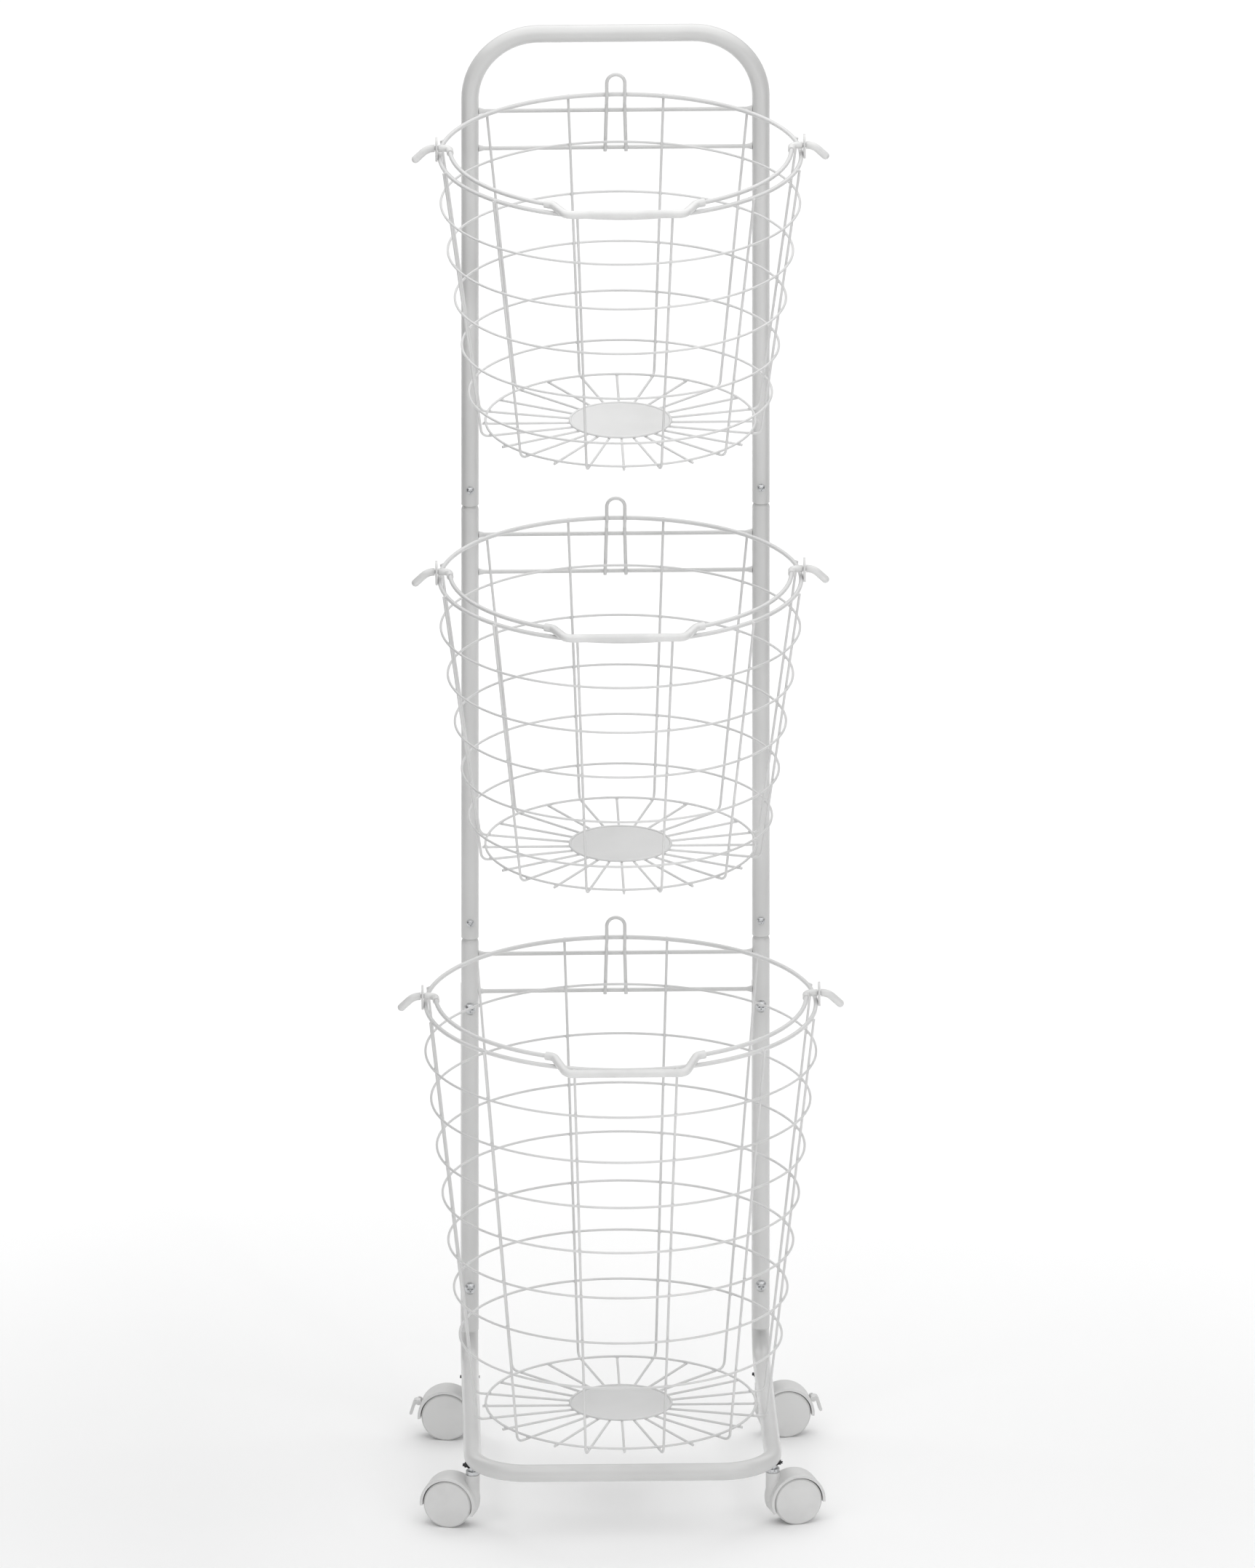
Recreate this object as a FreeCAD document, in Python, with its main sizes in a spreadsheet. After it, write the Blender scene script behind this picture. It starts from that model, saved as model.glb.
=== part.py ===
import FreeCAD, Part
import math
import operator
import os
from types import SimpleNamespace

import Sketcher

# A rolling cart: a frame of bent steel tube on four twin-wheel casters, with three wire baskets.
# Each basket hangs by its rim on a bent wire hook at the back and carries a swinging bail handle.
# Millimetres and degrees. +Z is up, -Y is the front, and the origin is on the floor under the
# middle of the cart.

# ---------------------------------------------------------------- driving dimensions
SIZES = (
    # frame tube, its joints and its handle
    ("tube_dia", "16"),
    ("tube_wall", "1.2"),
    ("post_spacing", "264"),
    ("handle_bend", "62"),
    ("handle_rise", "64"),
    ("upper_joint_rise", "11"),
    ("lower_joint_drop", "2"),
    ("neck_length", "30"),
    ("neck_play", "0.1"),
    ("joint_chamfer", "0.8"),
    ("shoulder_rise", "3"),
    ("shoulder_gap", "1.2"),
    # base loop behind and below the posts
    ("base_reach", "300"),
    ("base_splay", "5"),
    ("base_corner", "50"),
    ("riser_bend", "30"),
    ("riser_gap", "0.3"),
    ("riser_end", "16"),
    # screws through the tube joints
    ("joint_screw_rise", "16.5"),
    ("joint_screw_dia", "3.4"),
    ("joint_screw_head", "7"),
    ("joint_screw_length", "6"),
    # bolts that hold the base loop to the posts
    ("lower_bolt_rise", "73"),
    ("upper_bolt_drop", "66"),
    ("bolt_end", "0.5"),
    ("bolt_dia", "6"),
    ("bolt_head", "10"),
    ("bolt_flat", "0.6"),
    ("bolt_flat_edge", "1"),
    ("nut_width", "10"),
    ("nut_height", "5"),
    ("hole_play", "0.2"),
    # crossbars and hooks
    ("bar_wire", "3.8"),
    ("bar_weld_dia", "6.4"),
    ("bar_weld_length", "5"),
    ("bar_bite", "0.1"),
    ("upper_bar_drop", "18"),
    ("lower_bar_drop", "54"),
    ("hook_wire", "3.2"),
    ("hook_width", "16.4"),
    ("hook_foot_width", "19"),
    ("hook_tail", "2.4"),
    ("hook_jog", "9"),
    ("hook_bend", "4"),
    ("hook_gap", "0.7"),
    ("hook_rise", "20.5"),
    # baskets
    ("floor_clearance", "18"),
    ("lower_tier_gap", "150"),
    ("upper_tier_gap", "154"),
    ("small_rim_radius", "164"),
    ("large_rim_radius", "177"),
    ("small_depth", "255"),
    ("large_depth", "385"),
    ("small_floor_radius", "131"),
    ("large_floor_radius", "136"),
    ("small_ring_inset", "8.5"),
    ("large_ring_inset", "13.5"),
    ("floor_bend", "7"),
    ("hoop_pitch", "45.5"),
    ("rim_wire", "4"),
    ("hoop_wire", "2.2"),
    ("stave_wire", "2.3"),
    ("stave_rise", "0.6"),
    ("spoke_start", "40"),
    ("spoke_overhang", "3"),
    ("disc_radius", "47"),
    ("disc_thickness", "1.3"),
    ("disc_bead", "2.4"),
    # ears and bails
    ("ear_thickness", "2"),
    ("ear_width", "16"),
    ("ear_top", "19"),
    ("ear_bottom", "2"),
    ("ear_round", "7"),
    ("ear_foot_round", "3"),
    ("pivot_rise", "9"),
    ("pivot_play", "0.05"),
    ("bail_wire_dia", "4"),
    ("bail_inset", "9"),
    ("bail_turn", "6"),
    ("bail_bend", "9"),
    ("bail_lead", "8"),
    ("grip_sleeve_half", "72"),
    ("grip_half", "54"),
    ("grip_dia", "7.6"),
    ("small_grip_out", "7"),
    ("large_grip_out", "10"),
    ("small_grip_drop", "0.5"),
    ("large_grip_drop", "7"),
    ("small_bail_gap", "0.6"),
    ("large_bail_gap", "2"),
    ("arm_start", "0.6"),
    ("arm_straight", "7"),
    ("arm_reach", "18"),
    ("arm_drop", "10.5"),
    ("arm_bend", "14"),
    ("arm_dia", "7"),
    ("inner_sleeve_dia", "6.4"),
    ("inner_sleeve_tail", "7"),
    ("sleeve_play", "0.05"),
    # casters
    ("caster_trail", "21"),
    ("wheel_dia", "44"),
    ("wheel_width", "10.4"),
    ("wheel_edge", "1.4"),
    ("wheel_cap", "2.3"),
    ("wheel_gap", "0.4"),
    ("web_thickness", "3"),
    ("hub_dia", "12"),
    ("axle_dia", "5"),
    ("axle_play", "0.05"),
    ("axle_gap", "0.5"),
    ("hood_gap", "0.9"),
    ("hood_wall", "2.6"),
    ("hood_front_angle", "23"),
    ("hood_sweep", "208"),
    ("hood_round", "1"),
    ("hood_width_play", "0.4"),
    ("neck_dia", "13"),
    ("neck_rise", "5.5"),
    ("stem_rise", "9.5"),
    ("pin_dia", "7"),
    ("pin_length", "10"),
    ("pin_play", "0.05"),
    ("collar_dia", "12"),
    ("collar_height", "3.2"),
    ("collar_gap", "0.3"),
    ("flange_dia", "13.6"),
    ("flange_height", "1.4"),
    ("stud_dia", "7.8"),
    ("stud_length", "9"),
    ("front_stem_setback", "48"),
    ("rear_stem_setback", "18"),
    ("front_caster_yaw", "15"),
    ("rear_caster_yaw", "8"),
    # brake levers on the rear casters
    ("lever_width", "7"),
    ("lever_angle", "156"),
    ("lever_stand", "2.2"),
    ("lever_pin_dia", "2.4"),
    ("lever_pin_play", "0.05"),
    ("lug_dia", "4.8"),
    ("lug_width", "2"),
    ("lug_gap", "0.3"),
)

doc = FreeCAD.newDocument("rolling_cart")
sheet = doc.addObject("Spreadsheet::Sheet", "Sizes")
for row, (alias, number) in enumerate(SIZES, 1):
    sheet.set(f"A{row}", alias)
    sheet.set(f"B{row}", number)
    sheet.setAlias(f"B{row}", alias)
doc.recompute()

OPERATORS = {"+": operator.add, "-": operator.sub, "*": operator.mul, "/": operator.truediv}


class Size:
    """A size with its number now and the sheet expression that gives it."""

    def __init__(self, text, number):
        self.text = text
        self.number = number

    def __add__(self, other):
        return combine(self, "+", other)

    def __radd__(self, other):
        return combine(other, "+", self)

    def __sub__(self, other):
        return combine(self, "-", other)

    def __rsub__(self, other):
        return combine(other, "-", self)

    def __mul__(self, other):
        return combine(self, "*", other)

    def __rmul__(self, other):
        return combine(other, "*", self)

    def __truediv__(self, other):
        return combine(self, "/", other)

    def __neg__(self):
        return combine(0, "-", self)


def as_size(value):
    if isinstance(value, Size):
        return value
    return Size(str(value), float(value))


def combine(first, sign, second):
    first = as_size(first)
    second = as_size(second)
    number = OPERATORS[sign](first.number, second.number)
    return Size(f"({first.text} {sign} {second.text})", number)


size = SimpleNamespace(**{alias: Size(f"Sizes.{alias}", float(number)) for alias, number in SIZES})

# ---------------------------------------------------------------- sizes worked out from them
tube_radius = size.tube_dia / 2
post_x = size.post_spacing / 2
tube_bore = tube_radius - size.tube_wall
neck_top = size.wheel_dia + size.neck_rise
caster_height = neck_top + size.stem_rise
base_centre = caster_height + tube_radius
post_foot = base_centre + size.riser_bend
hook_plane = (size.bar_wire + size.hook_wire) / 2
rim_seat = (size.hook_wire + size.rim_wire) / 2 + size.hook_gap
rim_back = hook_plane + size.hook_jog - rim_seat
riser_back = size.tube_dia + size.riser_gap
weld_reach = (size.rim_wire + size.stave_wire) / 2
hoop_offset = (size.hoop_wire + size.stave_wire) / 2
rear_reach = riser_back + tube_radius + size.nut_height
front_reach = rim_back + size.large_rim_radius * 2 + size.large_grip_out + size.grip_dia / 2
post_y = (front_reach - rear_reach) / 2
bottom_rim = base_centre + tube_radius + size.floor_clearance + size.large_depth
middle_rim = bottom_rim + size.lower_tier_gap + size.small_depth
top_rim = middle_rim + size.upper_tier_gap + size.small_depth
cart_height = top_rim + size.handle_rise
upper_joint = middle_rim + size.upper_joint_rise
lower_joint = bottom_rim - size.lower_joint_drop
lower_bolt = base_centre + size.lower_bolt_rise
upper_bolt = lower_joint - size.upper_bolt_drop

VERTICAL = FreeCAD.Vector(0, 0, 1)


def vector(x, y, z):
    return FreeCAD.Vector(as_size(x).number, as_size(y).number, as_size(z).number)


# ---------------------------------------------------------------- document helpers
def bind(item, name, value):
    item.setExpression(name, as_size(value).text)


def place(item, x, y, z, yaw=0.0):
    """Put an object at x, y, z, turned by yaw degrees about the vertical."""
    item.Placement = FreeCAD.Placement(vector(x, y, z), FreeCAD.Rotation(VERTICAL, yaw))
    for name, value in (("x", x), ("y", y), ("z", z)):
        bind(item, f"Placement.Base.{name}", value)


def new_body(label):
    body = doc.addObject("PartDesign::Body", label)
    body.Label = label
    return body


def origin_feature(body, role):
    return next(item for item in body.Origin.OriginFeatures if item.Role == role)


def new_sketch(body, role, name, offset=None):
    sketch = body.newObject("Sketcher::SketchObject", name)
    sketch.AttachmentSupport = [(origin_feature(body, role), "")]
    sketch.MapMode = "FlatFace"
    if offset is not None:
        bind(sketch, "AttachmentOffset.Base.z", offset)
    return sketch


def constrain(sketch, value, kind, *where):
    """Add a dimension to a sketch and bind it to the sheet."""
    value = as_size(value)
    index = sketch.addConstraint(Sketcher.Constraint(kind, *where, value.number))
    sketch.setExpression(f"Constraints[{index}]", value.text)


def pin(sketch, geometry, point, x, y):
    """Hold one point of a sketch at x, y from its origin."""
    constrain(sketch, x, "DistanceX", -1, 1, geometry, point)
    constrain(sketch, y, "DistanceY", -1, 1, geometry, point)


def add_circle(sketch, x, y, radius):
    circle = Part.Circle(vector(x, y, 0), VERTICAL, as_size(radius).number)
    geometry = sketch.addGeometry(circle)
    pin(sketch, geometry, 3, x, y)
    constrain(sketch, radius, "Radius", geometry)


def add_outline(sketch, points):
    """A closed outline of straight sides."""
    corners = [vector(x, y, 0) for x, y in points]
    first = None
    for index, (x, y) in enumerate(points):
        side = Part.LineSegment(corners[index], corners[(index + 1) % len(corners)])
        geometry = sketch.addGeometry(side)
        pin(sketch, geometry, 1, x, y)
        if first is None:
            first = geometry
        else:
            sketch.addConstraint(Sketcher.Constraint("Coincident", geometry - 1, 2, geometry, 1))
    sketch.addConstraint(Sketcher.Constraint("Coincident", geometry, 2, first, 1))


def corner_points(points, radii):
    """The start, middle and end of the arc that rounds each inner point of a bent line."""
    for before, corner, after, radius in zip(points, points[1:], points[2:], radii):
        coming = (corner - before).normalize()
        going = (after - corner).normalize()
        half_turn = coming.getAngle(going) / 2
        setback = radius * math.tan(half_turn)
        inward = (going - coming).normalize()
        middle = corner + inward * (radius / math.cos(half_turn) - radius)
        yield corner - coming * setback, middle, corner + going * setback


def add_bent_line(sketch, points, bend):
    """An open path of straight runs with an arc of one radius at each inner point."""
    spots = [vector(x, y, 0) for x, y in points]
    arcs = list(corner_points(spots, [bend.number] * (len(spots) - 2)))
    marks = []
    for x, y in points[1:-1]:
        mark = sketch.addGeometry(Part.Point(vector(x, y, 0)), True)
        pin(sketch, mark, 1, x, y)
        marks.append(mark)
    run_starts = [spots[0]] + [arc[2] for arc in arcs]
    run_ends = [arc[0] for arc in arcs] + [spots[-1]]
    runs = [sketch.addGeometry(Part.LineSegment(*ends)) for ends in zip(run_starts, run_ends)]
    pin(sketch, runs[0], 1, *points[0])
    pin(sketch, runs[-1], 2, *points[-1])
    for index, (start, middle, end) in enumerate(arcs):
        bow = sketch.addGeometry(Part.Arc(start, middle, end))
        turned = (spots[index + 1] - spots[index]).cross(spots[index + 2] - spots[index + 1]).z
        near, far = (1, 2) if turned > 0 else (2, 1)
        sketch.addConstraint(Sketcher.Constraint("Tangent", runs[index], 2, bow, near))
        sketch.addConstraint(Sketcher.Constraint("Tangent", bow, far, runs[index + 1], 1))
        sketch.addConstraint(Sketcher.Constraint("PointOnObject", marks[index], 1, runs[index]))
        sketch.addConstraint(Sketcher.Constraint("PointOnObject", marks[index], 1, runs[index + 1]))
        constrain(sketch, bend, "Radius", bow)
    path_edges = 2 * len(arcs) + 1
    return [f"Edge{number}" for number in range(1, path_edges + 1)]


def revolve(body, sketch, axis):
    feature = body.newObject("PartDesign::Revolution", f"{sketch.Name}_turned")
    feature.Profile = sketch
    feature.ReferenceAxis = (sketch, [axis])
    feature.Angle = 360
    body.Tip = feature
    return feature


def pad(body, sketch, length, midplane=False):
    feature = body.newObject("PartDesign::Pad", f"{sketch.Name}_pad")
    feature.Profile = sketch
    feature.Midplane = midplane
    bind(feature, "Length", length)
    body.Tip = feature
    return feature


def pocket(body, sketch, length, toward_front=False, midplane=False):
    feature = body.newObject("PartDesign::Pocket", f"{sketch.Name}_cut")
    feature.Profile = sketch
    feature.Reversed = toward_front
    feature.Midplane = midplane
    bind(feature, "Length", length)
    body.Tip = feature
    return feature


def pipe(body, section, path, edges):
    feature = body.newObject("PartDesign::AdditivePipe", f"{section.Name}_swept")
    feature.Profile = section
    feature.Spine = (path, edges)
    body.Tip = feature
    return feature


def polar_copies(body, feature, count):
    pattern = body.newObject("PartDesign::PolarPattern", f"{feature.Name}_round")
    pattern.Originals = [feature]
    pattern.Axis = (origin_feature(body, "Z_Axis"), [""])
    pattern.Angle = 360
    pattern.Occurrences = count
    body.Tip = pattern


def dress(body, kind, amount, chosen):
    """Fillet or chamfer the edges of the tip that the test chooses."""
    doc.recompute()
    base = body.Tip
    names = [f"Edge{number}" for number, edge in enumerate(base.Shape.Edges, 1) if chosen(edge)]
    feature = body.newObject(f"PartDesign::{kind}", f"{base.Name}_{kind.lower()}")
    feature.Base = (base, names)
    bind(feature, "Radius" if kind == "Fillet" else "Size", amount)
    body.Tip = feature


def solid_feature(label, shape):
    """A sub-part whose shape is bent in space and is worked out here from the sheet's numbers."""
    item = doc.addObject("Part::Feature", label)
    item.Label = label
    item.Shape = shape
    return item


def bent_edges(points, radii):
    """Straight runs joined by tangent arcs, in space."""
    edges = []
    start = points[0]
    for first, middle, last in corner_points(points, radii):
        if (first - start).Length > 1e-6:
            edges.append(Part.makeLine(start, first))
        edges.append(Part.Arc(first, middle, last).toShape())
        start = last
    if (points[-1] - start).Length > 1e-6:
        edges.append(Part.makeLine(start, points[-1]))
    return edges


def sweep(edges, radius):
    """A round rod along a chain of edges."""
    first = edges[0]
    start = first.FirstParameter
    ring = Part.makeCircle(radius, first.valueAt(start), first.tangentAt(start))
    return Part.Wire(edges).makePipeShell([Part.Wire(ring)], True, False)


def mirrored_points(points):
    """The points and then their mirror images in the YZ plane, back to the start."""
    return points + [FreeCAD.Vector(-point.x, point.y, point.z) for point in reversed(points)]


def front_holes(body, name, places, radius, depth, both_walls=False):
    """Round holes through the front wall, or through both walls, of an upright tube."""
    sketch = new_sketch(body, "XZ_Plane", name)
    for x, z in places:
        add_circle(sketch, x, z, radius)
    pocket(body, sketch, depth, toward_front=not both_walls, midplane=both_walls)


# ---------------------------------------------------------------- frame tubes
def make_handle():
    """One tube bent into an upside-down U. It is the push handle and the top of both posts."""
    body = new_body("handle_tube")
    rise = cart_height - tube_radius - upper_joint
    path = new_sketch(body, "XZ_Plane", "handle_path")
    corners = ((-post_x, 0), (-post_x, rise), (post_x, rise), (post_x, 0))
    edges = add_bent_line(path, corners, size.handle_bend)
    section = new_sketch(body, "XY_Plane", "handle_section")
    add_circle(section, -post_x, 0, tube_radius)
    add_circle(section, -post_x, 0, tube_bore)
    pipe(body, section, path, edges)
    screw_hole = (size.joint_screw_dia + size.hole_play) / 2
    holes = [(side * post_x, size.joint_screw_rise) for side in (-1, 1)]
    front_holes(body, "handle_screw_holes", holes, screw_hole, size.tube_dia)
    dress(body, "Chamfer", size.joint_chamfer, lambda edge: is_tube_end(edge, 0))
    place(body, 0, post_y, upper_joint)


def is_tube_end(edge, height):
    """True for the outer edge of a tube end at this height."""
    round_edge = isinstance(edge.Curve, Part.Circle) and edge.BoundBox.ZLength < 1e-6
    if not round_edge:
        return False
    return abs(edge.Curve.Radius - tube_radius.number) < 1e-6 and abs(edge.BoundBox.ZMin - height) < 1e-6


# how far the swaged shoulder has come in at half its height, as part of the whole step
SHOULDER_BULGE = 0.3


def make_post(label, side, foot, top, foot_screw, bolt_heights):
    """A straight tube whose top is swaged to a neck that goes up inside the next tube."""
    body = new_body(label)
    length = top - foot
    neck_radius = tube_bore - size.neck_play
    neck_bore = neck_radius - size.tube_wall
    shoulder_in = tube_radius - neck_radius
    shoulder_top = length - size.shoulder_gap
    shoulder = size.tube_wall * 4
    outline = new_sketch(body, "XZ_Plane", f"{label}_section")
    add_outline(outline, (
        (tube_bore, 0),
        (tube_radius - size.joint_chamfer, 0),
        (tube_radius, size.joint_chamfer),
        (tube_radius, shoulder_top - size.shoulder_rise),
        (tube_radius - shoulder_in * SHOULDER_BULGE, shoulder_top - size.shoulder_rise / 2),
        (neck_radius, shoulder_top),
        (neck_radius, length + size.neck_length),
        (neck_bore, length + size.neck_length),
        (neck_bore, length - shoulder),
        (tube_bore, length - shoulder * 2),
    ))
    revolve(body, outline, "V_Axis")
    screw_hole = (size.joint_screw_dia + size.hole_play) / 2
    heights = [length + size.joint_screw_rise]
    if foot_screw:
        heights.append(size.joint_screw_rise)
    holes = [(0, height) for height in heights]
    front_holes(body, f"{label}_screw_holes", holes, screw_hole, size.tube_dia)
    if bolt_heights:
        bolt_holes = [(0, height - foot) for height in bolt_heights]
        bolt_hole = size.bolt_dia / 2 + size.hole_play
        front_holes(body, f"{label}_bolt_holes", bolt_holes, bolt_hole, size.tube_dia * 2, True)
        flats = new_sketch(body, "XZ_Plane", f"{label}_bolt_flats", tube_radius - size.bolt_flat)
        for _, height in bolt_holes:
            add_circle(flats, 0, height, size.bolt_head / 2 + size.bolt_flat_edge)
        pocket(body, flats, size.tube_dia, toward_front=True)
    place(body, side * post_x, post_y, foot)


def make_base_loop():
    """One long tube: up behind each post, forward under it, and round the front in two corners."""
    top = upper_bolt + size.riser_end
    back = post_y + riser_back
    front_x = post_x + size.base_splay
    half = [
        vector(post_x, back, top),
        vector(post_x, back, base_centre),
        vector(front_x, post_y - size.base_reach, base_centre),
    ]
    bends = [size.riser_bend.number, size.base_corner.number]
    centreline = bent_edges(mirrored_points(half), bends + bends[::-1])
    tube = sweep(centreline, tube_radius.number).cut(sweep(centreline, tube_bore.number))
    for name in ("front", "rear"):
        for side in (-1, 1):
            x, y = stem_place(name, side)
            depth = size.tube_dia / 2
            foot = vector(x, y, base_centre - depth)
            drill = Part.makeCylinder(stud_hole().number, depth.number, foot)
            tube = tube.cut(drill)
    for side in (-1, 1):
        for height in (lower_bolt, upper_bolt):
            start = vector(side * post_x, back - size.tube_dia, height)
            radius = (size.bolt_dia / 2 + size.hole_play).number
            drill = Part.makeCylinder(radius, (size.tube_dia * 2).number, start, FreeCAD.Vector(0, 1, 0))
            tube = tube.cut(drill)
    solid_feature("base_loop", tube)


def stud_hole():
    return (size.stud_dia + size.hole_play) / 2


def stem_place(name, side):
    """Where a caster stem meets the base loop, seen from above."""
    if name == "front":
        y = post_y - size.base_reach + size.front_stem_setback
    else:
        y = post_y - size.rear_stem_setback
    along = (post_y + riser_back - y) / (size.base_reach + riser_back)
    return side * (post_x + size.base_splay * along), y


# ---------------------------------------------------------------- fasteners
# a pan head's height, crown and cross recess as parts of its diameter
HEAD_HEIGHT = 0.34
CROWN_RADIUS = 0.3
SHOULDER_RADIUS = 0.45
RECESS_ARM = 0.27
RECESS_HALF_WIDTH = 0.06
RECESS_DEPTH = 0.18


def make_screw(name, shank, length, head):
    """A pan-head screw that points along +Y, with its head's seat at the origin."""
    body = new_body(name)
    head_radius = head / 2
    head_height = head * HEAD_HEIGHT
    outline = new_sketch(body, "XY_Plane", f"{name}_section")
    add_outline(outline, (
        (0, -head_height),
        (head * CROWN_RADIUS, -head_height),
        (head * SHOULDER_RADIUS, -head_height * 0.7),
        (head_radius, -head_height * 0.3),
        (head_radius, 0),
        (shank / 2, 0),
        (shank / 2, length),
        (0, length),
    ))
    revolve(body, outline, "V_Axis")
    arm = head * RECESS_ARM
    slot = head * RECESS_HALF_WIDTH
    recess = new_sketch(body, "XZ_Plane", f"{name}_recess", head_height - head * RECESS_DEPTH)
    add_outline(recess, (
        (slot, slot), (slot, arm), (-slot, arm), (-slot, slot), (-arm, slot), (-arm, -slot),
        (-slot, -slot), (-slot, -arm), (slot, -arm), (slot, -slot), (arm, -slot), (arm, slot),
    ))
    pocket(body, recess, head, toward_front=True)
    return body


def make_group(label, pattern_body, places):
    """Identical pieces in one node: linked copies of one body."""
    group = doc.addObject("Part::Compound", label)
    group.Label = label
    copies = []
    for number, (x, y, z) in enumerate(places, 1):
        copy = doc.addObject("App::Link", f"{label}_copy_{number}")
        copy.LinkedObject = pattern_body
        place(copy, x, y, z)
        copies.append(copy)
    group.Links = copies


def make_fasteners():
    sides = (-1, 1)
    screw_heights = [joint + size.joint_screw_rise for joint in (upper_joint, lower_joint)]
    shank = size.joint_screw_dia
    screw = make_screw("joint_screw", shank, size.joint_screw_length, size.joint_screw_head)
    screw_y = post_y - tube_radius
    screw_places = [(side * post_x, screw_y, z) for side in sides for z in screw_heights]
    make_group("joint_screws", screw, screw_places)
    bolt_heights = (lower_bolt, upper_bolt)
    bolt_y = post_y - tube_radius + size.bolt_flat
    bolt_length = riser_back + size.tube_dia - size.bolt_flat + size.nut_height - size.bolt_end
    bolt = make_screw("base_bolt", size.bolt_dia, bolt_length, size.bolt_head)
    make_group("base_bolts", bolt, [(side * post_x, bolt_y, z) for side in sides for z in bolt_heights])
    nut = doc.addObject("Part::Cut", "base_nut")
    prism = doc.addObject("Part::Prism", "nut_blank")
    prism.Polygon = 6
    bind(prism, "Circumradius", size.nut_width / math.sqrt(3))
    bind(prism, "Height", size.nut_height)
    bore = doc.addObject("Part::Cylinder", "nut_bore")
    bind(bore, "Radius", size.bolt_dia / 2)
    bind(bore, "Height", size.nut_height)
    nut.Base = prism
    nut.Tool = bore
    nut.Placement = FreeCAD.Placement(FreeCAD.Vector(), FreeCAD.Rotation(FreeCAD.Vector(1, 0, 0), -90))
    holder = doc.addObject("Part::Compound", "base_nut_turned")
    holder.Links = [nut]
    nut_y = post_y + riser_back + tube_radius
    make_group("base_nuts", holder, [(side * post_x, nut_y, z) for side in sides for z in bolt_heights])


# ---------------------------------------------------------------- what the baskets hang on
def tier_heights():
    return (top_rim, middle_rim, bottom_rim)


def make_crossbars():
    """Six equal rods between the posts, two for each basket, with a weld fillet at each end."""
    body = new_body("crossbar")
    half_length = post_x - tube_radius + size.bar_bite
    outline = new_sketch(body, "XZ_Plane", "crossbar_section")
    add_outline(outline, (
        (-half_length, 0),
        (-half_length, size.bar_weld_dia / 2),
        (-half_length + size.bar_weld_length, size.bar_wire / 2),
        (half_length - size.bar_weld_length, size.bar_wire / 2),
        (half_length, size.bar_weld_dia / 2),
        (half_length, 0),
    ))
    revolve(body, outline, "H_Axis")
    drops = (size.upper_bar_drop, size.lower_bar_drop)
    make_group("crossbars", body, [(0, post_y, rim - drop) for rim in tier_heights() for drop in drops])


def make_hook():
    """One wire: up the front of both crossbars, forward under the rim, and up to a closed arch."""
    front = -hook_plane - size.hook_jog
    shelf = rim_seat * (math.sqrt(2) - 1)
    half = [
        vector(size.hook_foot_width / 2, -hook_plane, -size.lower_bar_drop - size.hook_tail),
        vector(size.hook_width / 2, -hook_plane, -shelf - size.hook_jog),
        vector(size.hook_width / 2, front, -shelf),
        vector(size.hook_width / 2, front, size.hook_rise),
    ]
    arch = size.hook_width.number / 2
    bends = [size.hook_bend.number, size.hook_bend.number, arch]
    rod = sweep(bent_edges(mirrored_points(half), bends + bends[::-1]), size.hook_wire.number / 2)
    return solid_feature("basket_hook", rod)


# ---------------------------------------------------------------- baskets
class Basket:
    """The sizes and place of one basket, about the middle of its rim."""

    def __init__(self, name, rim_height, kind):
        self.name = name
        self.rim_height = rim_height
        self.rim_radius = getattr(size, f"{kind}_rim_radius")
        self.depth = getattr(size, f"{kind}_depth")
        self.floor_radius = getattr(size, f"{kind}_floor_radius")
        self.grip_out = getattr(size, f"{kind}_grip_out")
        self.grip_drop = getattr(size, f"{kind}_grip_drop")
        self.ring_radius = self.floor_radius - getattr(size, f"{kind}_ring_inset")
        grip_clear = size.rim_wire / 2 + size.grip_dia / 2 + getattr(size, f"{kind}_bail_gap")
        self.bail_fall = size.pivot_rise - grip_clear
        self.y = post_y - rim_back - self.rim_radius
        self.spoke_drop = self.depth + hoop_offset
        self.stave_top = self.rim_radius + weld_reach
        self.lean = (self.stave_top - self.floor_radius) / self.spoke_drop
        self.ear_x = self.rim_radius + size.rim_wire / 2

    def hoop_count(self):
        return int((self.depth.number - size.hoop_pitch.number / 2) / size.hoop_pitch.number)

    def put(self, item):
        place(item, 0, self.y, self.rim_height)


def make_rim(basket):
    label = f"{basket.name}_rim"
    rim = doc.addObject("Part::Torus", label)
    rim.Label = label
    bind(rim, "Radius1", basket.rim_radius)
    bind(rim, "Radius2", size.rim_wire / 2)
    basket.put(rim)


def make_hoops(basket):
    """Hoops round the outside of the staves, and the floor ring on top of the spokes."""
    body = new_body(f"{basket.name}_hoops")
    sections = new_sketch(body, "XZ_Plane", f"{basket.name}_hoop_sections")
    for number in range(1, basket.hoop_count() + 1):
        drop = size.hoop_pitch * number
        radius = basket.stave_top - basket.lean * drop + hoop_offset
        add_circle(sections, radius, -drop, size.hoop_wire / 2)
    add_circle(sections, basket.ring_radius, -basket.depth, size.hoop_wire / 2)
    revolve(body, sections, "V_Axis")
    basket.put(body)


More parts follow.
